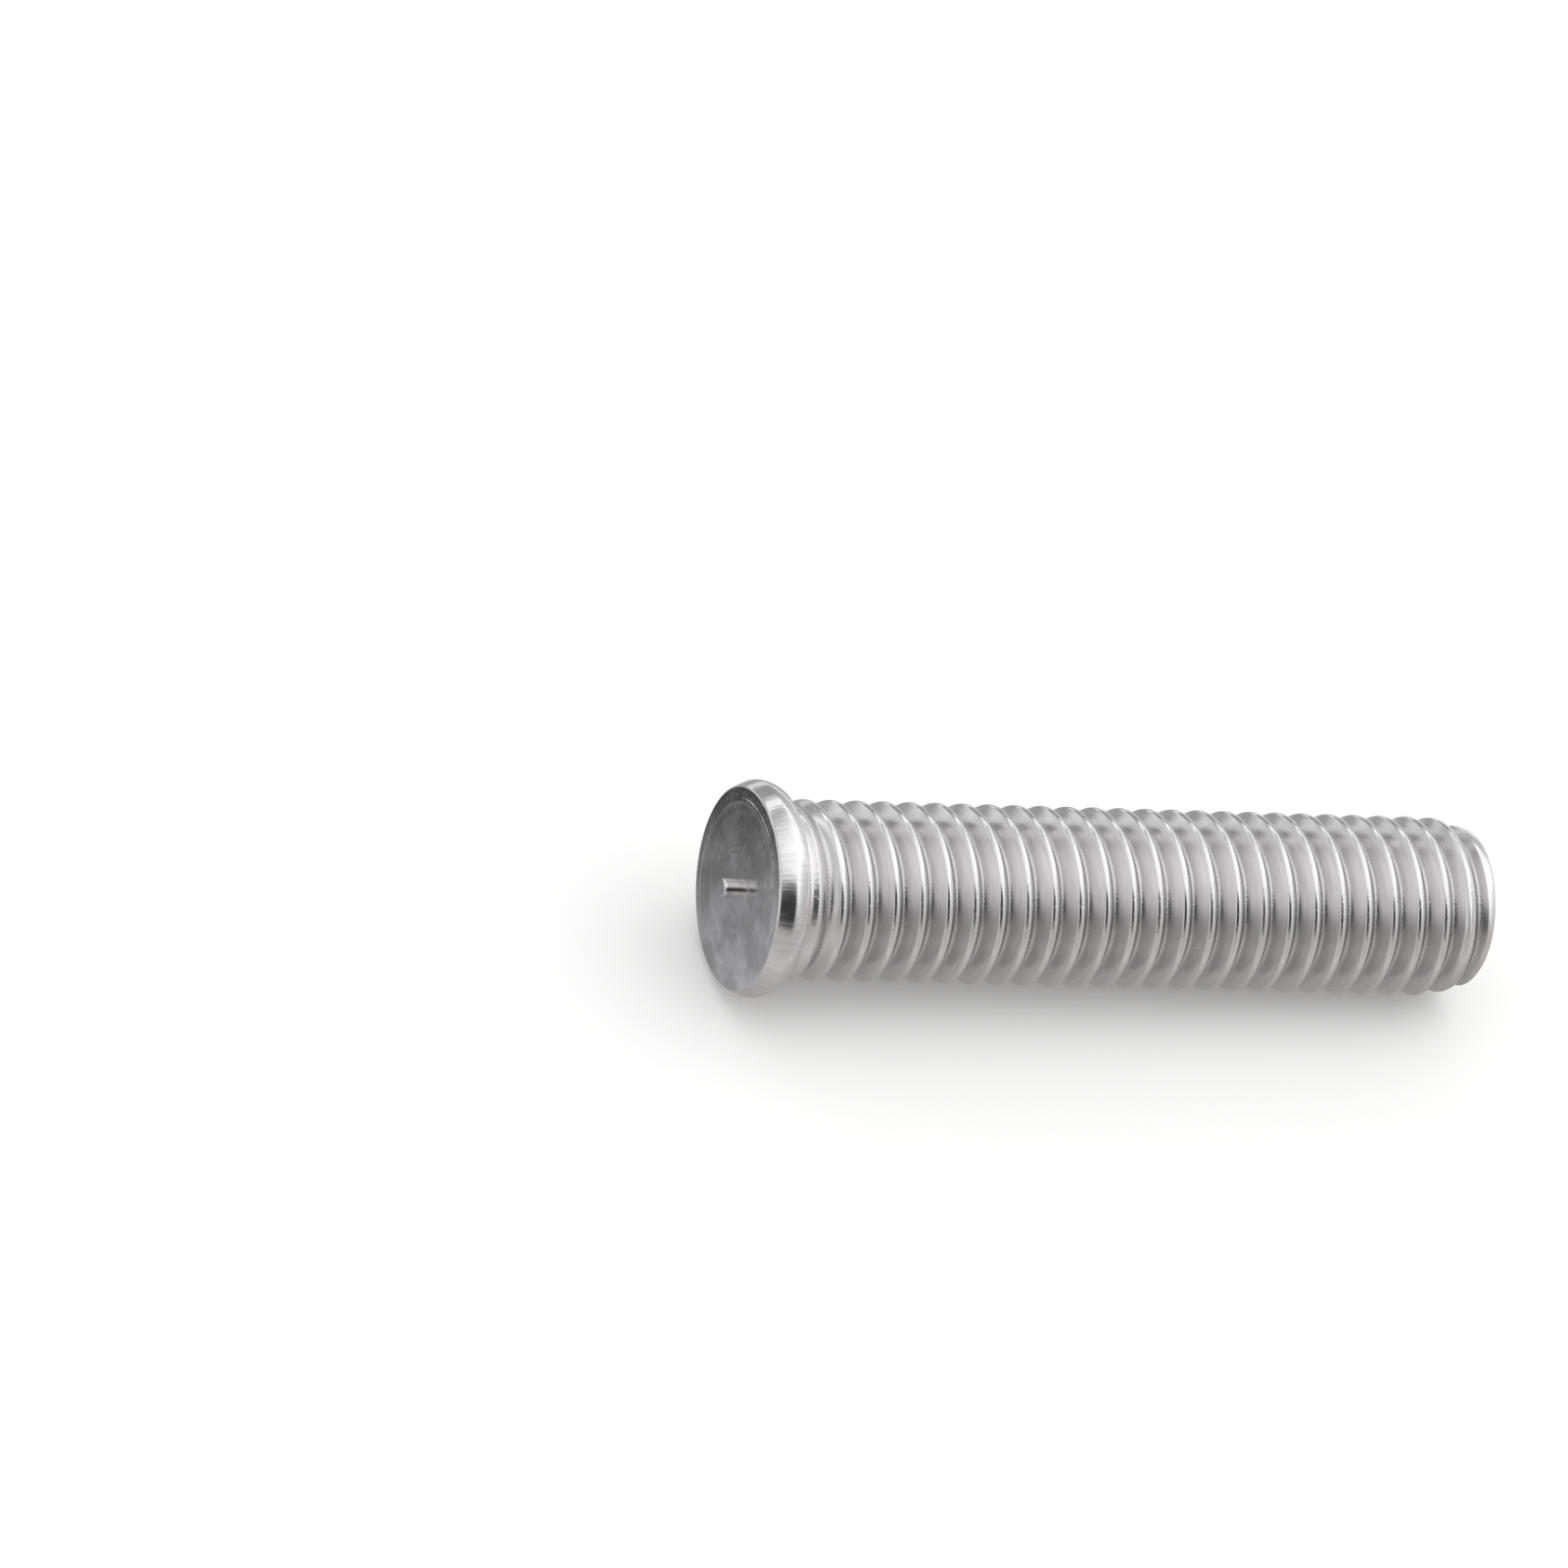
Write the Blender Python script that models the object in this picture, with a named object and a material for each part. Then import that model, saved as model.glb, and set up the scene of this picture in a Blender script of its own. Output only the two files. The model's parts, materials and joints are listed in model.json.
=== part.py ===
"""Capacitor-discharge weld stud, M8 x 35, formed as one piece of stainless steel.

The stud lies as it comes to rest, on its flange and on the last full turn of its thread, with its
axis along +X and its thread end first. The origin is on the ground below the middle of its box.
Sizes are in metres. Along the axis they are measured from the flat margin of the weld face.
"""

import math

import bmesh
import bpy
from mathutils import Matrix, Vector

TAU = 2 * math.pi
MERGE = 1e-7
SEGMENTS = 36
SPARE_TURNS = 2

# Overall
STUD_LENGTH = 0.0346

# Thread. The shares are of the pitch. The crest is what the groove leaves of it. By the flange the
# shank rises quickly from the neck, and the groove deepens more slowly.
THREAD_D = 0.0078
PITCH = 0.00125
THREAD_OFFSET = 0.00162
FLANK_ANGLE = math.radians(30)
DEPTH_SHARE = 0.6134
ROOT_RADIUS_SHARE = 0.1256
RISE_LENGTH = 0.0003
RISE_POWER = 1.5
RUNOUT_LENGTH = 0.0019

# Thread end, where a taper takes its depth off the radius
TAPER_DEPTH = 0.00048
TAPER_LENGTH = 0.00175
END_EDGE = 0.0001

# Flange, with a rim that bulges between its two edges. The shares are of its reach past the neck.
FLANGE_D = 0.0094
FLANGE_THICKNESS = 0.00145
RIM_FRONT_SHARE = 0.3333
RIM_BACK_SHARE = 0.2778
RIM_FRONT_POWER = 1.3
RIM_BACK_POWER = 2
BACK_SLOPE = math.radians(8)
FRONT_EDGE_ROUND = 0.00014
BACK_EDGE_ROUND = 0.00015

# Weld face: a flat margin round a shallow cone
MARGIN_WIDTH = 0.00062
CONE_ANGLE = math.radians(0.5)

# Ignition tip
TIP_D = 0.00084
TIP_LENGTH = 0.00075
TIP_EDGE_ROUND = 0.00012

# Neck between flange and thread, a step below the thread's outside
NECK_STEP = 0.0001
NECK_FILLET = 0.0003

# Segments of the rim's bulge and of each rounded corner, rounds of the crest's fit to the taper,
# and the angle between faces above which an edge is drawn sharp
RIM_STEPS = 6
CORNER_STEPS = 3
FIT_ROUNDS = 12
SHARP_ANGLE = math.radians(40)

THREAD_R = THREAD_D / 2
FLANGE_R = FLANGE_D / 2
NECK_R = THREAD_R - NECK_STEP
END_R = THREAD_R - TAPER_DEPTH
TIP_R = TIP_D / 2
RIM_FRONT_DROP = RIM_FRONT_SHARE * (FLANGE_R - NECK_R)
RIM_BACK_DROP = RIM_BACK_SHARE * (FLANGE_R - NECK_R)
FACE_R = FLANGE_R - RIM_FRONT_DROP
BACK_R = FLANGE_R - RIM_BACK_DROP
MARGIN_R = FACE_R - MARGIN_WIDTH
CONE_TOP = -(MARGIN_R - TIP_R) * math.tan(CONE_ANGLE)
TIP_TOP = CONE_TOP - TIP_LENGTH
DEPTH = DEPTH_SHARE * PITCH
ROOT_RADIUS = ROOT_RADIUS_SHARE * PITCH
ROOT_HALF = ROOT_RADIUS * math.cos(FLANK_ANGLE)
ROOT_RISE = ROOT_RADIUS * (1 - math.sin(FLANK_ANGLE))
CREST_HALF = PITCH / 2 - ROOT_HALF - (DEPTH - ROOT_RISE) * math.tan(FLANK_ANGLE)
TAPER_START = STUD_LENGTH - TAPER_LENGTH
THREAD_END = STUD_LENGTH - END_EDGE
NECK_START = FLANGE_THICKNESS + (BACK_R - NECK_R) * math.tan(BACK_SLOPE)
BACK_ROUND = min(BACK_EDGE_ROUND, (BACK_R - NECK_R) / 2)
FOOT_ROUND = min(NECK_FILLET, (BACK_R - NECK_R) / 2)
THREAD_START = NECK_START + FOOT_ROUND * math.tan((TAU / 4 - BACK_SLOPE) / 2)
BOTTOM = 0.75 * TAU


def clear_scene():
    for item in list(bpy.data.objects):
        bpy.data.objects.remove(item)


def stainless_steel():
    material = bpy.data.materials.new("stainless_steel")
    material.use_nodes = True
    shader = material.node_tree.nodes["Principled BSDF"]
    shader.inputs["Base Color"].default_value = (0.62, 0.61, 0.59, 1)
    shader.inputs["Metallic"].default_value = 1
    shader.inputs["Roughness"].default_value = 0.25
    return material


def rounded(before, corner, after, radius):
    """Points of the arc that rounds a corner of the outline, from one side to the other."""
    before, corner, after = Vector(before), Vector(corner), Vector(after)
    first = (before - corner).normalized()
    second = (after - corner).normalized()
    half = first.angle(second) / 2
    centre = corner + (first + second).normalized() * radius / math.sin(half)
    start = corner + first * radius / math.tan(half) - centre
    turn = math.copysign(math.pi - 2 * half, first.cross(second))
    arc = [Matrix.Rotation(-turn * step / CORNER_STEPS, 2) @ start for step in range(CORNER_STEPS + 1)]
    return [centre + spoke for spoke in arc]


def rim():
    """Outline of the bulged rim, highest half-way along it and lower at each edge."""
    points = []
    for step in range(RIM_STEPS + 1):
        across = 2 * step / RIM_STEPS - 1
        drop = RIM_BACK_DROP * across**RIM_BACK_POWER
        if across < 0:
            drop = RIM_FRONT_DROP * (-across) ** RIM_FRONT_POWER
        points.append(((1 + across) * FLANGE_THICKNESS / 2, FLANGE_R - drop))
    return points


def turned_profile():
    """(along, radius) from the edge of the tip's end face to the start of the thread."""
    margin = (0, MARGIN_R)
    tip_foot = (CONE_TOP, TIP_R)
    tip_end = rounded((TIP_TOP, 0), (TIP_TOP, TIP_R), tip_foot, TIP_EDGE_ROUND)
    front_edge, *bulge, back_edge = rim()
    front = rounded(margin, front_edge, bulge[0], FRONT_EDGE_ROUND)
    neck_corner = (NECK_START, NECK_R)
    back = rounded(bulge[-1], back_edge, neck_corner, BACK_ROUND)
    neck = rounded(back_edge, neck_corner, (STUD_LENGTH, NECK_R), FOOT_ROUND)
    bulge = [place for place in bulge if front[-1].x < place[0] < back[0].x]
    return [*tip_end, tip_foot, margin, *front, *bulge, *back, *neck]


def envelope(along):
    """Outer radius of the thread: full size, then the taper down to the end face."""
    run = max(0.0, along - TAPER_START) / TAPER_LENGTH
    return THREAD_R - (THREAD_R - END_R) * run


def groove_depth(offset):
    """Depth of the groove at a distance from its middle: a round root between straight flanks."""
    offset = abs(offset)
    if offset < ROOT_HALF:
        return DEPTH - ROOT_RADIUS + math.sqrt(ROOT_RADIUS**2 - offset**2)
    return max(0.0, DEPTH - ROOT_RISE - (offset - ROOT_HALF) / math.tan(FLANK_ANGLE))


def shank_radius(along, angle):
    """Radius of the threaded shank: an outside that rises from the neck, less the groove's depth."""
    turn = (along - THREAD_OFFSET) / PITCH - angle / TAU
    outside = envelope(along)
    depth = max(0.0, groove_depth(turn % 1.0 * PITCH - PITCH / 2) - (THREAD_R - outside))
    risen = min(1.0, (along - THREAD_START) / RISE_LENGTH) ** RISE_POWER
    deepened = min(1.0, (along - THREAD_START) / RUNOUT_LENGTH)
    return NECK_R + (outside - NECK_R) * risen - depth * deepened


def crest_edge(middle, side):
    """Place of a crest's edge. The crest widens along its flanks where the taper cuts it lower."""
    half = CREST_HALF
    for _ in range(FIT_ROUNDS):
        wider = (THREAD_R - envelope(middle + side * half)) * math.tan(FLANK_ANGLE)
        half = min(CREST_HALF + wider, PITCH / 2 - ROOT_HALF)
    return middle + side * half


def thread_column(angle, turns):
    """Places along one line of the thread at this angle: crest edges, then the round root."""
    places = []
    for turn in turns:
        crest = THREAD_OFFSET + (turn + angle / TAU) * PITCH
        root = crest + PITCH / 2
        places += [crest_edge(crest, -1), crest_edge(crest, 1)]
        places += [root - ROOT_HALF, root, root + ROOT_HALF]
    return [min(max(place, THREAD_START), THREAD_END) for place in places]


def point(along, radius, angle):
    return Vector((along, radius * math.cos(angle), radius * math.sin(angle)))


def add_ring(mesh, angles, along, radii):
    return [mesh.verts.new(point(along, r, a)) for a, r in zip(angles, radii)]


def join_rings(mesh, first, second):
    for i in range(len(first)):
        k = (i + 1) % len(first)
        mesh.faces.new((first[i], first[k], second[k], second[i]))


def add_turned_part(mesh, angles):
    """Ignition tip, weld face, flange and neck, as rings round the axis."""
    rings = [add_ring(mesh, angles, s, [r] * len(angles)) for s, r in turned_profile()]
    mesh.faces.new(rings[0])
    for first, second in zip(rings, rings[1:]):
        join_rings(mesh, first, second)


def add_thread(mesh, angles):
    """The helical surface. After a full turn a column meets the first one, one pitch further on."""
    first_turn = math.floor((THREAD_START - THREAD_OFFSET) / PITCH) - SPARE_TURNS
    last_turn = math.ceil((THREAD_END - THREAD_OFFSET) / PITCH) + SPARE_TURNS
    turns = range(first_turn, last_turn)
    columns = []
    for angle in angles:
        places = thread_column(angle, turns)
        columns.append([mesh.verts.new(point(s, shank_radius(s, angle), angle)) for s in places])
    per_turn = len(columns[0]) // len(turns)
    columns.append(columns[0][per_turn:])
    for left, right in zip(columns, columns[1:]):
        for row in range(len(right) - 1):
            mesh.faces.new((left[row], left[row + 1], right[row + 1], right[row]))


def add_end_face(mesh, angles):
    """The blunted edge of the thread end, and its flat face."""
    edge = [shank_radius(THREAD_END, angle) for angle in angles]
    outer = add_ring(mesh, angles, THREAD_END, edge)
    inner = add_ring(mesh, angles, STUD_LENGTH, [radius - END_EDGE for radius in edge])
    join_rings(mesh, outer, inner)
    mesh.faces.new(inner)


def resting_lean():
    """Angle by which the axis dips when the flange and the last full crest touch the ground."""
    full_turns = (TAPER_START - CREST_HALF - THREAD_OFFSET) / PITCH - BOTTOM / TAU
    last_crest = THREAD_OFFSET + (math.floor(full_turns) + BOTTOM / TAU) * PITCH + CREST_HALF
    return math.atan2(FLANGE_R - THREAD_R, last_crest - FLANGE_THICKNESS / 2)


def lay_down(mesh):
    """Tilts the stud to its resting lean and puts the middle of its box over the origin."""
    mesh.transform(Matrix.Rotation(resting_lean(), 4, "Y"))
    low = [min(vertex.co[axis] for vertex in mesh.verts) for axis in range(3)]
    high = [max(vertex.co[axis] for vertex in mesh.verts) for axis in range(3)]
    middle = Vector(((low[0] + high[0]) / 2, (low[1] + high[1]) / 2, low[2]))
    mesh.transform(Matrix.Translation(-middle))


def weld_stud():
    mesh = bmesh.new()
    angles = [TAU * step / SEGMENTS for step in range(SEGMENTS)]
    add_turned_part(mesh, angles)
    add_thread(mesh, angles)
    add_end_face(mesh, angles)
    bmesh.ops.remove_doubles(mesh, verts=mesh.verts, dist=MERGE)
    bmesh.ops.recalc_face_normals(mesh, faces=mesh.faces)
    lay_down(mesh)
    data = bpy.data.meshes.new("weld_stud")
    mesh.to_mesh(data)
    mesh.free()
    data.shade_smooth()
    data.set_sharp_from_angle(angle=SHARP_ANGLE)
    data.materials.append(stainless_steel())
    stud = bpy.data.objects.new("weld_stud", data)
    bpy.context.scene.collection.objects.link(stud)


def main():
    clear_scene()
    weld_stud()


main()
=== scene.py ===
"""Weld stud lying on a pale floor in soft studio light, seen from the side of its weld face.

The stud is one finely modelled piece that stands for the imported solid. Its sizes are in metres.
Along the axis they are measured from the flat margin of the weld face.
"""

import json
import math

import bmesh
import bpy
import numpy as np
from mathutils import Matrix, Vector


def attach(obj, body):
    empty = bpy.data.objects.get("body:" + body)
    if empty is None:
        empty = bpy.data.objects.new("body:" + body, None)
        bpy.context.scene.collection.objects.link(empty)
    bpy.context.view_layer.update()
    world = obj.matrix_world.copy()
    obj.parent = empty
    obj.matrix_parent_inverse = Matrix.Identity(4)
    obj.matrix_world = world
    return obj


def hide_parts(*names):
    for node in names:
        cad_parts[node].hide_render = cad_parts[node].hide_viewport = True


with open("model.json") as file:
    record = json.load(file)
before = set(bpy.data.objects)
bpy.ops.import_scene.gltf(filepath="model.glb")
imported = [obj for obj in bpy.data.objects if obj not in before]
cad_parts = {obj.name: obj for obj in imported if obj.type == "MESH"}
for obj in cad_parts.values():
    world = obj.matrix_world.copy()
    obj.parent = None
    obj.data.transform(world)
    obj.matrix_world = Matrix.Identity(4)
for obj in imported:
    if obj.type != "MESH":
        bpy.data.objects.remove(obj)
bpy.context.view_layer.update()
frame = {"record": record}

TAU = 2 * math.pi
MERGE = 1e-7
MICROMETRE = 1e-6

# Camera. The aim is the point of the stud's frame that the middle of the picture shows.
CAMERA_AIM = Vector((-0.015144, 0.002587, 0.008464))
CAMERA_AZIMUTH = math.radians(-31.245)
CAMERA_ELEVATION = math.radians(40)
CAMERA_ROLL = math.radians(21.812)
CAMERA_DISTANCE = 0.9571
CAMERA_LENS_MM = 512.3
CAMERA_SENSOR_MM = 36

# Overall
STUD_LENGTH = 0.0346

# Thread. The shares are of the pitch. The crest is what the groove leaves of it. It has a crown, and
# a blunted corner on each side of the crown. By the flange the shank rises quickly from the neck, and
# the groove deepens more slowly.
THREAD_D = 0.0078
PITCH = 0.00125
THREAD_OFFSET = 0.00157
FLANK_ANGLE = math.radians(30)
DEPTH_SHARE = 0.58
ROOT_RADIUS_SHARE = 0.1256
CREST_CROWN = 0.00006
CREST_CORNER = 0.000012
RISE_LENGTH = 0.0003
RISE_POWER = 1.5
RUNOUT_LENGTH = 0.0019

# Thread end
END_D = 0.00684
TAPER_LENGTH = 0.00175
END_EDGE = 0.0001

# Flange, with a rim that bulges between its two edges
FLANGE_D = 0.0094
FLANGE_THICKNESS = 0.00145
RIM_FRONT_DROP = 0.0003
RIM_BACK_DROP = 0.00025
RIM_FRONT_POWER = 1.3
RIM_BACK_POWER = 2
BACK_SLOPE = math.radians(8)
FRONT_EDGE_ROUND = 0.00014
BACK_EDGE_ROUND = 0.00015

# Weld face: a flat margin round a shallow cone
MARGIN_WIDTH = 0.00062
CONE_ANGLE = math.radians(0.5)

# Raised ring where the margin meets the cone
RING_HEIGHT = 0.00003
RING_WIDTH = 0.0004

# Ignition tip
TIP_D = 0.00084
TIP_LENGTH = 0.00075
TIP_EDGE_ROUND = 0.00012

# Neck between flange and thread
NECK_D = 0.0076
NECK_FILLET = 0.0003

# Steel and cards. A noise pattern keeps mostly to the first range, and the second is narrower, for
# stronger patches.
STEEL_COLOUR = (0.633, 0.624, 0.626)
WARM = (1.0, 0.955, 0.93, 1)
COOL = (0.975, 0.975, 1.0, 1)
NOISE_RANGE = (0.3, 0.7)
PATCH_RANGE = (0.35, 0.65)

# Floor
FLOOR_REACH = 1.5
FLOOR_COLOUR = (0.8, 0.8, 0.795, 1)
FLOOR_ROUGHNESS = 0.9
FLOOR_GLOW = 0.155
CARD_STEP = 0.00001

# Light. A place in the sky is an azimuth, 0 from -Y and growing towards +X, and an elevation. An edge
# is the cosines of the angles from the place at which a patch begins and is full. The rise and fall
# of the back light are sines of elevations.
ALL_ROUND_LIGHT = 0.46
SIDE_LIGHT = 0.69
BACK_LIGHT = 1.7
BACK_RISE = (0.4, 0.54)
BACK_FALL = (0.74, 0.6)
SOFTBOX_LIGHT = 1.05
SOFTBOX_PLACE = (math.radians(60), math.radians(70))
SOFTBOX_EDGE = (0.4, 0.95)
DARK_PLACE = (math.radians(-18), math.radians(26))
DARK_EDGE = (0.85, 0.98)
DARK_SHARE = 0.92
SIDE_DARK_PLACE = (math.radians(68), math.radians(21))
SIDE_DARK_EDGE = (0.88, 0.98)
SIDE_DARK_SHARE = 0.35

# Fineness of the mesh, the angle between faces above which an edge is drawn sharp, and the depth
# behind the weld face within which a face still belongs to it
SEGMENTS = 128
RIM_STEPS = 24
CORNER_STEPS = 6
RING_STEPS = 12
CREST_STEPS = 5
FLANK_STEPS = 2
ROOT_STEPS = 4
SPARE_TURNS = 2
SHARP_ANGLE = math.radians(50)
FACE_EDGE = 0.00002

THREAD_R = THREAD_D / 2
FLANGE_R = FLANGE_D / 2
NECK_R = NECK_D / 2
END_R = END_D / 2
TIP_R = TIP_D / 2
FACE_R = FLANGE_R - RIM_FRONT_DROP
BACK_R = FLANGE_R - RIM_BACK_DROP
MARGIN_R = FACE_R - MARGIN_WIDTH
CONE_TOP = -(MARGIN_R - TIP_R) * math.tan(CONE_ANGLE)
TIP_TOP = CONE_TOP - TIP_LENGTH
DEPTH = DEPTH_SHARE * PITCH
ROOT_RADIUS = ROOT_RADIUS_SHARE * PITCH
ROOT_HALF = ROOT_RADIUS * math.cos(FLANK_ANGLE)
ROOT_RISE = ROOT_RADIUS * (1 - math.sin(FLANK_ANGLE))
CREST_HALF = PITCH / 2 - ROOT_HALF - (DEPTH - ROOT_RISE) * math.tan(FLANK_ANGLE)
CROWN_HALF = CREST_HALF + CREST_CROWN * math.tan(FLANK_ANGLE)
TAPER_START = STUD_LENGTH - TAPER_LENGTH
THREAD_END = STUD_LENGTH - END_EDGE
NECK_START = FLANGE_THICKNESS + (BACK_R - NECK_R) * math.tan(BACK_SLOPE)
THREAD_START = NECK_START + NECK_FILLET * math.tan((TAU / 4 - BACK_SLOPE) / 2)


def rounded(before, corner, after, radius):
    """Points of the arc that rounds a corner of the outline, from one side to the other."""
    before, corner, after = Vector(before), Vector(corner), Vector(after)
    first = (before - corner).normalized()
    second = (after - corner).normalized()
    half = first.angle(second) / 2
    centre = corner + (first + second).normalized() * radius / math.sin(half)
    start = corner + first * radius / math.tan(half) - centre
    turn = math.copysign(math.pi - 2 * half, first.cross(second))
    arc = [Matrix.Rotation(-turn * step / CORNER_STEPS, 2) @ start for step in range(CORNER_STEPS + 1)]
    return [centre + spoke for spoke in arc]


def rim():
    """Outline of the bulged rim, highest half-way along it and lower at each edge."""
    points = []
    for step in range(RIM_STEPS + 1):
        across = 2 * step / RIM_STEPS - 1
        drop = RIM_BACK_DROP * across**RIM_BACK_POWER
        if across < 0:
            drop = RIM_FRONT_DROP * (-across) ** RIM_FRONT_POWER
        points.append(((1 + across) * FLANGE_THICKNESS / 2, FLANGE_R - drop))
    return points


def face_ring():
    """(along, radius) over the low ring on the weld face, from its inner to its outer foot."""
    turns = [TAU * step / RING_STEPS for step in range(RING_STEPS + 1)]
    start = MARGIN_R - RING_WIDTH / 2
    return [(RING_HEIGHT * (math.cos(turn) - 1) / 2, start + RING_WIDTH * turn / TAU) for turn in turns]


def turned_profile():
    """(along, radius) from the edge of the tip's end face to the start of the thread."""
    margin = (0, MARGIN_R)
    tip_foot = (CONE_TOP, TIP_R)
    tip_end = rounded((TIP_TOP, 0), (TIP_TOP, TIP_R), tip_foot, TIP_EDGE_ROUND)
    front_edge, *bulge, back_edge = rim()
    front = rounded(margin, front_edge, bulge[0], FRONT_EDGE_ROUND)
    neck_corner = (NECK_START, NECK_R)
    back = rounded(bulge[-1], back_edge, neck_corner, BACK_EDGE_ROUND)
    neck = rounded(back_edge, neck_corner, (STUD_LENGTH, NECK_R), NECK_FILLET)
    bulge = [place for place in bulge if front[-1].x < place[0] < back[0].x]
    return [*tip_end, tip_foot, *face_ring(), *front, *bulge, *back, *neck]


def envelope(along):
    """Outer radius of the thread: full size, then the taper down to the end face."""
    run = np.maximum(along - TAPER_START, 0) / TAPER_LENGTH
    return THREAD_R - (THREAD_R - END_R) * run


def flank_radius(offset):
    """Radius of the two straight flanks and the round root, at a distance from the root's middle."""
    offset = np.abs(offset)
    root = DEPTH - ROOT_RADIUS + np.sqrt(np.maximum(ROOT_RADIUS**2 - offset**2, 0))
    flank = DEPTH - ROOT_RISE - (offset - ROOT_HALF) / math.tan(FLANK_ANGLE)
    return THREAD_R - np.where(offset < ROOT_HALF, root, flank)


def crest_radius(along, offset):
    """Radius of the slightly crowned crest, at a distance from its middle. The taper widens it."""
    half = CROWN_HALF + (THREAD_R - envelope(along)) * math.tan(FLANK_ANGLE)
    return envelope(along) - CREST_CROWN * np.minimum(np.abs(offset) / half, 1) ** 2


def shank_radius(along, angle):
    """Radius of the threaded shank: an outside that rises from the neck, less the groove's depth."""
    turn = (along - THREAD_OFFSET) / PITCH - angle / TAU
    from_crest = ((turn + 0.5) % 1.0 - 0.5) * PITCH
    from_root = (turn % 1.0 - 0.5) * PITCH
    outside = envelope(along)
    depth = outside - np.minimum(flank_radius(from_root), crest_radius(along, from_crest))
    risen = np.clip((along - THREAD_START) / RISE_LENGTH, 0, 1) ** RISE_POWER
    deepened = np.clip((along - THREAD_START) / RUNOUT_LENGTH, 0, 1)
    return NECK_R + (outside - NECK_R) * risen - depth * deepened


def thread_rows():
    """Places along one pitch, from a crest's middle to the next, close together at crest and root."""
    root_start = PITCH / 2 - ROOT_HALF
    places = list(np.linspace(0, CROWN_HALF, CREST_STEPS + 1))
    places += list(np.linspace(CROWN_HALF + CREST_CORNER, root_start, FLANK_STEPS, endpoint=False))
    places += list(np.linspace(root_start, PITCH / 2, ROOT_STEPS, endpoint=False))
    return np.array(places + [PITCH - place for place in [PITCH / 2, *reversed(places[1:])]])


def add_ring(mesh, angles, along, radii):
    rows = zip(angles, radii)
    return [mesh.verts.new((along, r * math.cos(a), r * math.sin(a))) for a, r in rows]


def join_rings(mesh, first, second):
    for i in range(len(first)):
        k = (i + 1) % len(first)
        mesh.faces.new((first[i], first[k], second[k], second[i]))


def add_turned_part(mesh, angles):
    """Ignition tip, weld face, flange and neck, as rings round the axis."""
    rings = [add_ring(mesh, angles, s, [r] * len(angles)) for s, r in turned_profile()]
    mesh.faces.new(rings[0])
    for first, second in zip(rings, rings[1:]):
        join_rings(mesh, first, second)


def add_thread(mesh, angles):
    """The helical surface. After a full turn a column meets the first one, one pitch further on."""
    first_turn = math.floor((THREAD_START - THREAD_OFFSET) / PITCH) - SPARE_TURNS
    last_turn = math.ceil((THREAD_END - THREAD_OFFSET) / PITCH) + SPARE_TURNS
    one_turn = thread_rows()
    rows = np.concatenate([one_turn + turn * PITCH for turn in range(first_turn, last_turn)])
    columns = []
    for angle in angles:
        along = np.clip(THREAD_OFFSET + angle / TAU * PITCH + rows, THREAD_START, THREAD_END)
        radius = shank_radius(along, angle)
        places = zip(along, radius * math.cos(angle), radius * math.sin(angle))
        columns.append([mesh.verts.new(place) for place in places])
    columns.append(columns[0][len(one_turn):])
    for left, right in zip(columns, columns[1:]):
        for row in range(len(right) - 1):
            mesh.faces.new((left[row], left[row + 1], right[row + 1], right[row]))


def add_end_face(mesh, angles):
    """The blunted edge of the thread end, and its flat face."""
    edge = [shank_radius(THREAD_END, angle) for angle in angles]
    outer = add_ring(mesh, angles, THREAD_END, edge)
    inner = add_ring(mesh, angles, STUD_LENGTH, [radius - END_EDGE for radius in edge])
    join_rings(mesh, outer, inner)
    mesh.faces.new(inner)


def stud_place():
    """Place of the stud's own axes in the frame, from the mount on its thread end."""
    mount = frame["record"]["mounts"][0]
    axis = Vector(mount["axis"])
    face = Vector(mount["pos_m"]) - axis * STUD_LENGTH
    lean = math.atan2(-axis.z, axis.x)
    return face, lean


def steel_name(centre):
    """Name of the steel of a face, from the face's middle."""
    radius = math.hypot(centre.y, centre.z)
    if centre.x < FACE_EDGE and radius < TIP_R:
        return "ignition_tip"
    if centre.x < FACE_EDGE and radius < FACE_R:
        return "weld_face"
    if centre.x < NECK_START:
        return "flange_rim"
    return "thread_end" if centre.x > THREAD_END else "rolled_thread"


def build_stud():
    """The stud as one mesh. The end faces of tip and thread have many corners and stay flat."""
    mesh = bmesh.new()
    angles = [TAU * step / SEGMENTS for step in range(SEGMENTS)]
    add_turned_part(mesh, angles)
    add_thread(mesh, angles)
    add_end_face(mesh, angles)
    bmesh.ops.remove_doubles(mesh, verts=mesh.verts, dist=MERGE)
    bmesh.ops.recalc_face_normals(mesh, faces=mesh.faces)
    steels = [face_steel(), rim_steel(), thread_steel(), tip_steel(), end_steel()]
    names = [steel.name for steel in steels]
    for face in mesh.faces:
        face.material_index = names.index(steel_name(face.calc_center_median()))
    place, lean = stud_place()
    mesh.transform(Matrix.Translation(place) @ Matrix.Rotation(lean, 4, "Y"))
    data = bpy.data.meshes.new("threaded_stud")
    mesh.to_mesh(data)
    mesh.free()
    smooth = [len(face.vertices) <= 4 for face in data.polygons]
    data.polygons.foreach_set("use_smooth", smooth)
    data.set_sharp_from_angle(angle=SHARP_ANGLE)
    for steel in steels:
        data.materials.append(steel)
    stud = bpy.data.objects.new("threaded_stud", data)
    bpy.context.scene.collection.objects.link(stud)
    return stud


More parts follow.
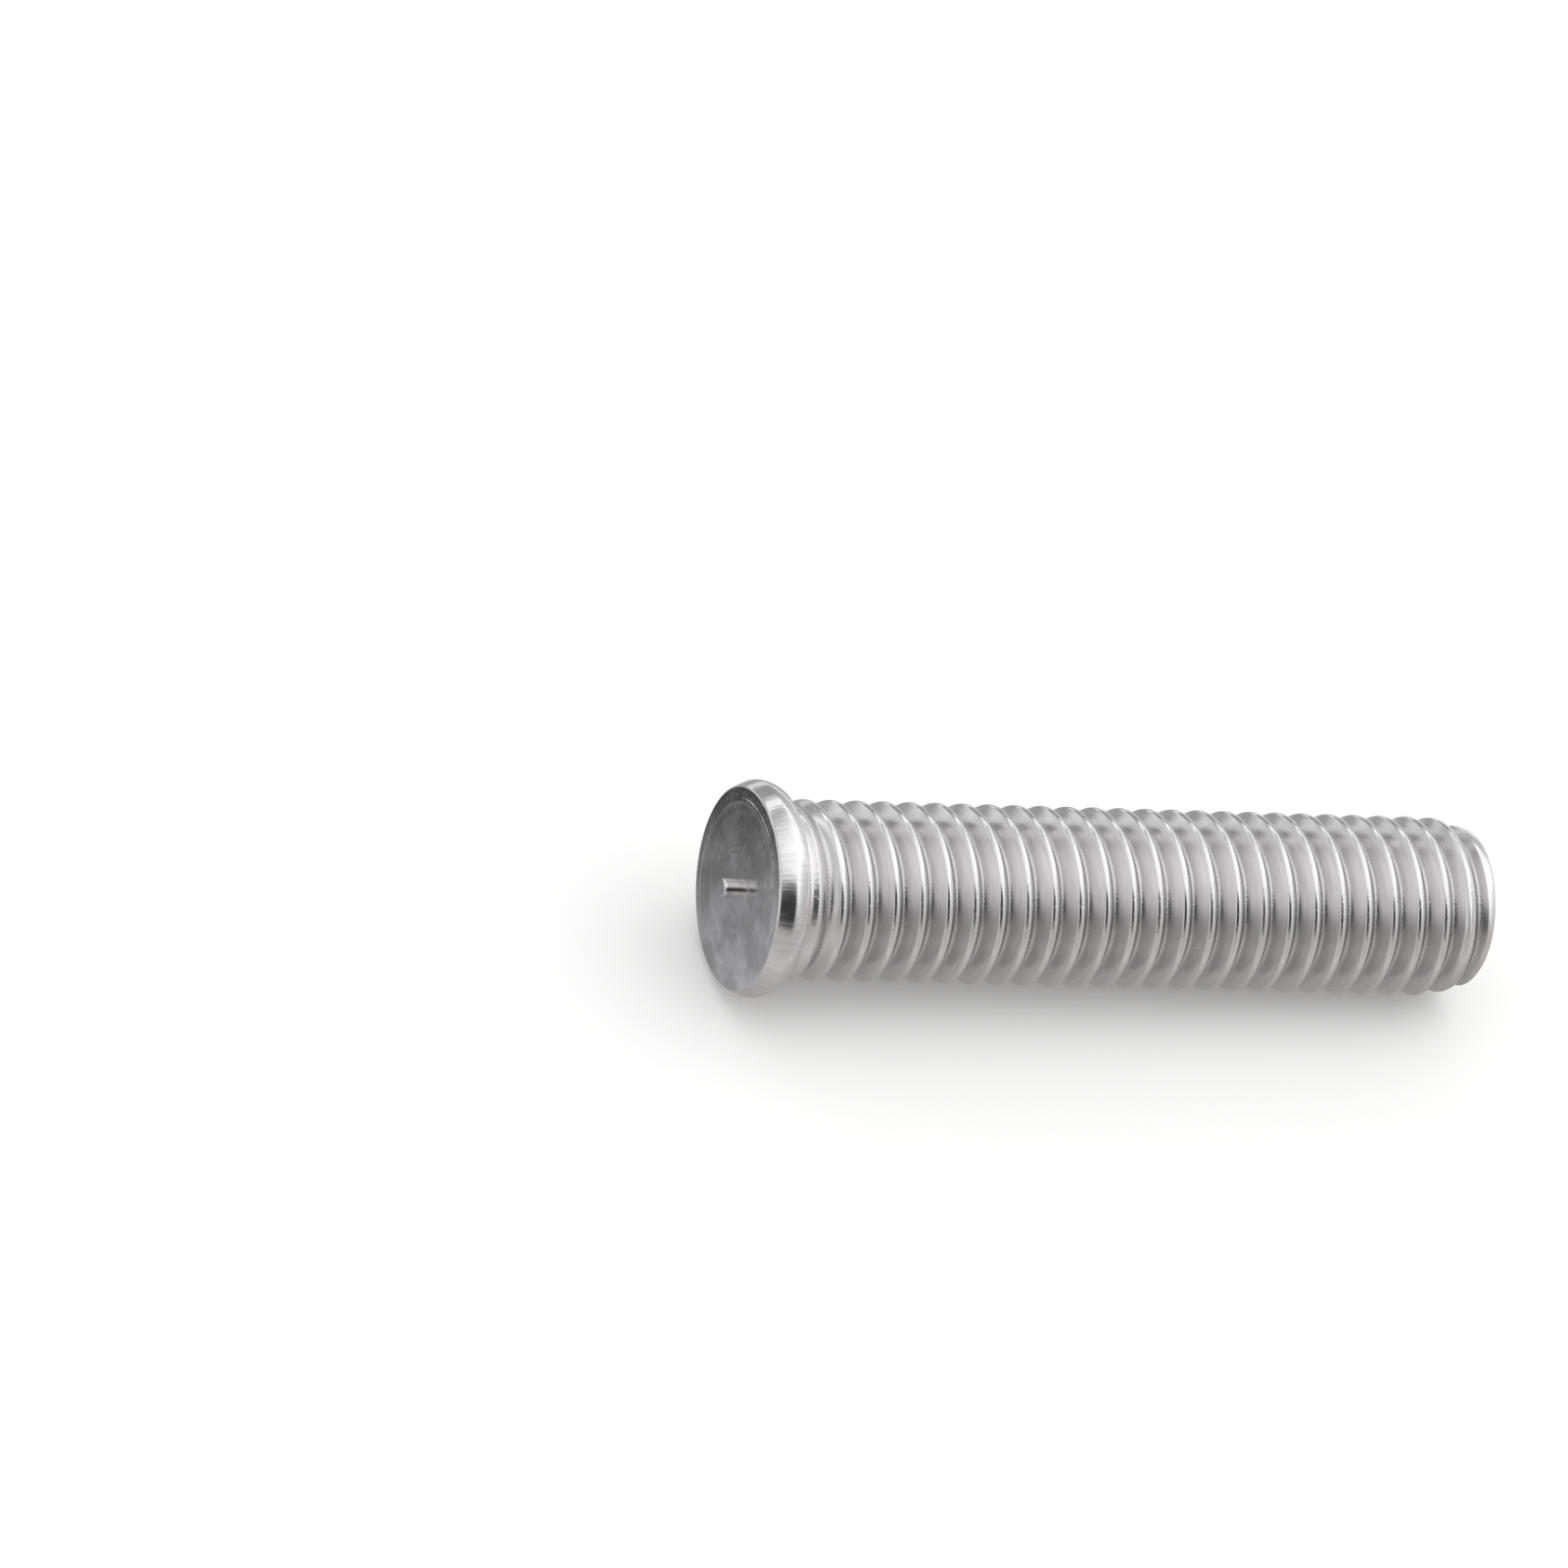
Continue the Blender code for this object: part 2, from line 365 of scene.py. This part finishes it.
class Graph:
    """Adds nodes to a material or world and links them."""

    def __init__(self, owner):
        owner.use_nodes = True
        self.tree = owner.node_tree

    def add(self, kind, **settings):
        node = self.tree.nodes.new(kind)
        for name, value in settings.items():
            setattr(node, name, value)
        return node

    def put(self, value, socket):
        if isinstance(value, bpy.types.NodeSocket):
            self.tree.links.new(value, socket)
        else:
            socket.default_value = value

    def math(self, operation, *values):
        node = self.add("ShaderNodeMath", operation=operation)
        for value, socket in zip(values, node.inputs):
            self.put(value, socket)
        return node.outputs["Value"]

    def product(self, *values):
        result = values[0]
        for value in values[1:]:
            result = self.math("MULTIPLY", result, value)
        return result

    def total(self, *values):
        result = values[0]
        for value in values[1:]:
            result = self.math("ADD", result, value)
        return result

    def layers(self, *layers):
        """The sum of patterns, each given with its strength."""
        return self.total(*[self.product(*layer) for layer in layers])

    def ramp(self, value, low, high, to_low=0.0, to_high=1.0):
        """A smooth step from one value to another as the input goes from low to high."""
        node = self.add("ShaderNodeMapRange", interpolation_type="SMOOTHSTEP")
        self.put(value, node.inputs["Value"])
        node.inputs["From Min"].default_value = low
        node.inputs["From Max"].default_value = high
        node.inputs["To Min"].default_value = to_low
        node.inputs["To Max"].default_value = to_high
        return node.outputs["Result"]

    def vector(self, x, y, z):
        node = self.add("ShaderNodeCombineXYZ")
        for value, socket in zip((x, y, z), node.inputs):
            self.put(value, socket)
        return node.outputs["Vector"]

    def split(self, vector):
        node = self.add("ShaderNodeSeparateXYZ")
        self.put(vector, node.inputs["Vector"])
        return node.outputs["X"], node.outputs["Y"], node.outputs["Z"]

    def noise(self, vector, size=1, detail=2):
        """Noise with blotches of about this size."""
        node = self.add("ShaderNodeTexNoise")
        self.put(vector, node.inputs["Vector"])
        node.inputs["Scale"].default_value = 1 / size
        node.inputs["Detail"].default_value = detail
        return node.outputs["Fac"]

    def stretched(self, vector, x, y, z):
        node = self.add("ShaderNodeVectorMath", operation="MULTIPLY")
        self.put(vector, node.inputs[0])
        node.inputs[1].default_value = (x, y, z)
        return node.outputs["Vector"]

    def scaled(self, colour, factor):
        """A colour with its brightness multiplied by a value."""
        node = self.add("ShaderNodeVectorMath", operation="SCALE")
        node.inputs[0].default_value = colour
        self.put(factor, node.inputs["Scale"])
        return node.outputs["Vector"]


class Steel(Graph):
    """Stainless steel with colour, roughness and relief set by patterns in the stud's own axes.

    Its place along the axis and its distance from it are in metres, and its angle grows from the
    top towards the back. A relief's strengths are in micrometres, and a noise's size is in metres.
    """

    def __init__(self, name):
        self.material = bpy.data.materials.new(name)
        super().__init__(self.material)
        self.shader = self.tree.nodes["Principled BSDF"]
        self.shader.inputs["Metallic"].default_value = 1
        place, lean = stud_place()
        mapping = self.add("ShaderNodeMapping", vector_type="TEXTURE")
        self.put(self.add("ShaderNodeTexCoord").outputs["Object"], mapping.inputs["Vector"])
        mapping.inputs["Location"].default_value = place
        mapping.inputs["Rotation"].default_value = (0, lean, 0)
        self.position = mapping.outputs["Vector"]
        self.along, across, up = self.split(self.position)
        self.angle = self.math("ARCTAN2", across, up)
        squares = [self.math("POWER", side, 2) for side in (across, up)]
        self.radius = self.math("SQRT", self.total(*squares))
        self.cosine = self.math("DIVIDE", up, self.radius)
        self.sine = self.math("DIVIDE", across, self.radius)

    def finish(self, brightness, roughness, relief):
        self.put(self.scaled(STEEL_COLOUR, brightness), self.shader.inputs["Base Color"])
        self.put(roughness, self.shader.inputs["Roughness"])
        bump = self.add("ShaderNodeBump")
        bump.inputs["Distance"].default_value = MICROMETRE
        self.put(relief, bump.inputs["Height"])
        self.put(bump.outputs["Normal"], self.shader.inputs["Normal"])
        return self.material


def thread_steel():
    """Rolled thread: nicked crests, flanks with faint streaks along the helix, and pitted roots.

    Crest, flank and root begin at distances from a crest's middle, in pitches, and so does the painted
    shading that darkens each groove towards its root. The pits are deepest by the flange.
    """
    steel = Steel("rolled_thread")
    pitches = steel.product(steel.math("SUBTRACT", steel.along, THREAD_OFFSET), 1 / PITCH)
    turn = steel.total(pitches, steel.math("MULTIPLY_ADD", steel.angle, 1 / TAU, -1 / 4))
    from_crest = steel.math("PINGPONG", turn, 1 / 2)
    crest = steel.ramp(from_crest, 0.12, 0.08)
    flank = steel.ramp(from_crest, 0.1, 0.16)
    root = steel.ramp(from_crest, 0.33, 0.43)
    # Painted shading: the colour is darkened from the flanks to a fifth less at the middle of each
    # root, as if the groove lay in shadow.
    painted_groove_shade = steel.ramp(from_crest, 0.15, 0.5, to_low=1.0, to_high=0.8)
    neck = steel.ramp(steel.along, THREAD_START + PITCH, THREAD_START)
    pit_depth = steel.ramp(steel.along, THREAD_START + 2 * PITCH, THREAD_START + PITCH / 2, 16, 40)

    helical = steel.vector(turn, steel.cosine, steel.sine)
    streaks = steel.noise(steel.stretched(helical, 14, 1.6, 1.6), detail=3)
    mottle = steel.noise(steel.position, size=0.0009, detail=3)
    grain = steel.noise(steel.position, size=0.00008)
    nicks = steel.product(steel.ramp(steel.noise(steel.position, size=0.00024), 0.56, 0.66), crest)
    pits = steel.product(grain, root)

    relief = steel.layers((streaks, 3), (pits, pit_depth), (nicks, -5), (grain, 1.6), (mottle, 4))
    roughness = steel.total(
        steel.ramp(mottle, *NOISE_RANGE, 0.09, 0.16),
        steel.layers((flank, 0.08), (root, 0.06), (neck, 0.12), (nicks, 0.1)),
    )
    brightness = steel.product(
        steel.ramp(streaks, *NOISE_RANGE, 0.94, 1.04),
        steel.ramp(pits, 0.3, 0.9, 1.0, 0.8),
        painted_groove_shade,
    )
    return steel.finish(brightness, roughness, relief)


def rim_steel():
    """Rim of the flange, with fine striations across it."""
    steel = Steel("flange_rim")
    around = steel.vector(steel.product(steel.along, 900), steel.cosine, steel.sine)
    striations = steel.noise(steel.stretched(around, 1, 30, 30), detail=3)
    mottle = steel.noise(steel.position, size=0.0008, detail=3)
    relief = steel.layers((striations, 9), (mottle, 5))
    roughness = steel.ramp(mottle, *NOISE_RANGE, 0.11, 0.19)
    brightness = steel.ramp(striations, *NOISE_RANGE, 0.93, 1.04)
    return steel.finish(brightness, roughness, relief)


def face_steel():
    """Weld face: uneven, with shallow dents, fine pits, arcs round its middle and lighter patches."""
    steel = Steel("weld_face")
    broad = steel.noise(steel.position, size=0.0016, detail=4)
    dents = steel.noise(steel.position, size=0.0005, detail=3)
    grain = steel.noise(steel.position, size=0.00012)
    pits = steel.ramp(steel.noise(steel.position, size=0.00022), 0.66, 0.74)
    rings = steel.vector(steel.product(steel.radius, 3500), steel.cosine, steel.sine)
    arcs = steel.noise(steel.stretched(rings, 1, 1.4, 1.4), detail=3)
    relief = steel.layers((broad, 60), (dents, 14), (grain, 2), (pits, -12), (arcs, 22))
    roughness = steel.ramp(dents, *NOISE_RANGE, 0.14, 0.26)
    brightness = steel.product(
        steel.ramp(broad, *PATCH_RANGE, 0.76, 1.1),
        steel.ramp(arcs, 0.55, 0.75, 0.97, 1.25),
    )
    return steel.finish(brightness, roughness, relief)


def tip_steel():
    """Ignition tip: smooth, with faint unevenness."""
    steel = Steel("ignition_tip")
    mottle = steel.noise(steel.position, size=0.0003)
    relief = steel.layers((mottle, 2.5))
    roughness = steel.ramp(mottle, *NOISE_RANGE, 0.07, 0.13)
    brightness = steel.ramp(mottle, *NOISE_RANGE, 0.92, 1.04)
    return steel.finish(brightness, roughness, relief)


def end_steel():
    """Sheared thread end, with fine marks side by side and broad unevenness."""
    steel = Steel("thread_end")
    marks = steel.noise(steel.stretched(steel.position, 500, 500, 9000), detail=3)
    broad = steel.noise(steel.position, size=0.0014, detail=3)
    dents = steel.noise(steel.position, size=0.0004, detail=3)
    relief = steel.layers((marks, 3), (broad, 50), (dents, 10))
    roughness = steel.ramp(dents, *NOISE_RANGE, 0.16, 0.26)
    brightness = steel.ramp(broad, *PATCH_RANGE, 0.8, 1.06)
    return steel.finish(brightness, roughness, relief)


def direction(azimuth, elevation):
    level = math.cos(elevation)
    return Vector((math.sin(azimuth) * level, -math.cos(azimuth) * level, math.sin(elevation)))


def add_camera():
    data = bpy.data.cameras.new("camera")
    data.lens = CAMERA_LENS_MM
    data.sensor_width = CAMERA_SENSOR_MM
    camera = bpy.data.objects.new("camera", data)
    back = direction(CAMERA_AZIMUTH, CAMERA_ELEVATION)
    upright = (-back).to_track_quat("-Z", "Y").to_matrix().to_4x4()
    turned = upright @ Matrix.Rotation(CAMERA_ROLL, 4, "Z")
    camera.matrix_world = Matrix.Translation(CAMERA_AIM + back * CAMERA_DISTANCE) @ turned
    bpy.context.scene.collection.objects.link(camera)
    bpy.context.scene.camera = camera


def add_world():
    """Soft light all round with more from the sides, a band behind, a softbox and two darker places."""
    world = bpy.data.worlds.new("studio")
    bpy.context.scene.world = world
    sky = Graph(world)
    towards = sky.add("ShaderNodeTexCoord").outputs["Generated"]
    sideways, backward, up = sky.split(towards)

    def patch(place, edge):
        """1 at a place in the sky and 0 outside its edge."""
        node = sky.add("ShaderNodeVectorMath", operation="DOT_PRODUCT")
        sky.put(towards, node.inputs[0])
        node.inputs[1].default_value = direction(*place)
        return sky.ramp(node.outputs["Value"], *edge)

    def dimmed(place, edge, share):
        """Factor that takes away a share of the light round a place."""
        return sky.math("MULTIPLY_ADD", patch(place, edge), -share, 1)

    sides = sky.product(sky.math("POWER", sky.math("ABSOLUTE", sideways), 2), SIDE_LIGHT)
    softbox = sky.product(patch(SOFTBOX_PLACE, SOFTBOX_EDGE), SOFTBOX_LIGHT)
    behind = sky.math("POWER", sky.math("MAXIMUM", backward, 0), 2)
    band = sky.product(behind, BACK_LIGHT, sky.ramp(up, *BACK_RISE), sky.ramp(up, *BACK_FALL))
    light = sky.product(
        sky.total(sides, band, softbox, ALL_ROUND_LIGHT),
        dimmed(DARK_PLACE, DARK_EDGE, DARK_SHARE),
        dimmed(SIDE_DARK_PLACE, SIDE_DARK_EDGE, SIDE_DARK_SHARE),
    )
    background = sky.tree.nodes["Background"]
    background.inputs["Color"].default_value = (1, 1, 1, 1)
    sky.put(light, background.inputs["Strength"])


def plane(name, low, high, height, material):
    """A level rectangle on or just above the ground, from its low to its high corner."""
    corners = [(low[0], low[1]), (high[0], low[1]), (high[0], high[1]), (low[0], high[1])]
    data = bpy.data.meshes.new(name)
    data.from_pydata([(x, y, height) for x, y in corners], [], [(0, 1, 2, 3)])
    data.materials.append(material)
    item = bpy.data.objects.new(name, data)
    bpy.context.scene.collection.objects.link(item)
    return item


def pale_floor():
    """Pale floor that keeps shadows, lifted to white for the eye and for what the metal mirrors."""
    material = bpy.data.materials.new("pale_floor")
    floor = Graph(material)
    shader = floor.tree.nodes["Principled BSDF"]
    shader.inputs["Base Color"].default_value = FLOOR_COLOUR
    shader.inputs["Roughness"].default_value = FLOOR_ROUGHNESS
    shader.inputs["Specular IOR Level"].default_value = 0
    shader.inputs["Emission Color"].default_value = (1, 1, 1, 1)
    rays = floor.add("ShaderNodeLightPath").outputs
    seen = floor.total(rays["Is Camera Ray"], rays["Is Glossy Ray"], rays["Is Transmission Ray"])
    glow = floor.product(floor.math("MINIMUM", seen, 1), FLOOR_GLOW)
    floor.put(glow, shader.inputs["Emission Strength"])
    return material


def card_material(name, colour, near, far, softness):
    """A card's own light, from its near edge at low Y to its far edge at high Y.

    The card fades out towards all its edges, over a share of its size that is its softness.
    """
    material = bpy.data.materials.new(name)
    card = Graph(material)
    card.tree.nodes.clear()
    glow = card.add("ShaderNodeEmission")
    glow.inputs["Color"].default_value = colour
    along, across, _ = card.split(card.add("ShaderNodeTexCoord").outputs["Generated"])
    card.put(card.ramp(across, 0, 1, near, far), glow.inputs["Strength"])
    from_edges = [card.math("PINGPONG", place, 1 / 2) for place in (along, across)]
    shown = card.product(*[card.ramp(place, 0, softness) for place in from_edges])
    mix = card.add("ShaderNodeMixShader")
    card.put(shown, mix.inputs["Fac"])
    card.put(card.add("ShaderNodeBsdfTransparent").outputs["BSDF"], mix.inputs[1])
    card.put(glow.outputs["Emission"], mix.inputs[2])
    card.put(mix.outputs["Shader"], card.add("ShaderNodeOutputMaterial").inputs["Surface"])
    return material


def add_card(name, low, high, layer, colour, near, far, softness):
    """A card on the floor that shows only in the metal, one step higher for each layer."""
    material = card_material(name, colour, near, far, softness)
    card = plane(name, low, high, layer * CARD_STEP, material)
    card.visible_camera = False
    card.visible_diffuse = False
    card.visible_shadow = False
    card.visible_transmission = False


def add_stage():
    """The floor, and cards where the metal mirrors something darker than the floor."""
    plane("floor", (-FLOOR_REACH, -FLOOR_REACH), (FLOOR_REACH, FLOOR_REACH), 0, pale_floor())
    add_card(
        "card_in_front", low=(-0.5, -0.7), high=(0.5, -0.002), layer=1,
        colour=WARM, near=0.45, far=0.68, softness=0.02,
    )
    add_card(
        "card_behind", low=(-0.045, 0.002), high=(0.034, 0.055), layer=2,
        colour=COOL, near=0.45, far=0.45, softness=0.4,
    )
    add_card(
        "card_below", low=(-0.045, -0.012), high=(0.04, 0.006), layer=3,
        colour=WARM, near=0.8, far=0.2, softness=0.25,
    )
    add_card(
        "card_by_face", low=(-0.034, -0.006), high=(-0.0168, 0.016), layer=4,
        colour=COOL, near=0.6, far=0.04, softness=0.05,
    )


def main():
    stud = build_stud()
    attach(stud, "root")
    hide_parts("weld_stud")
    add_camera()
    add_world()
    add_stage()
    bpy.context.scene.view_settings.view_transform = "Standard"


main()
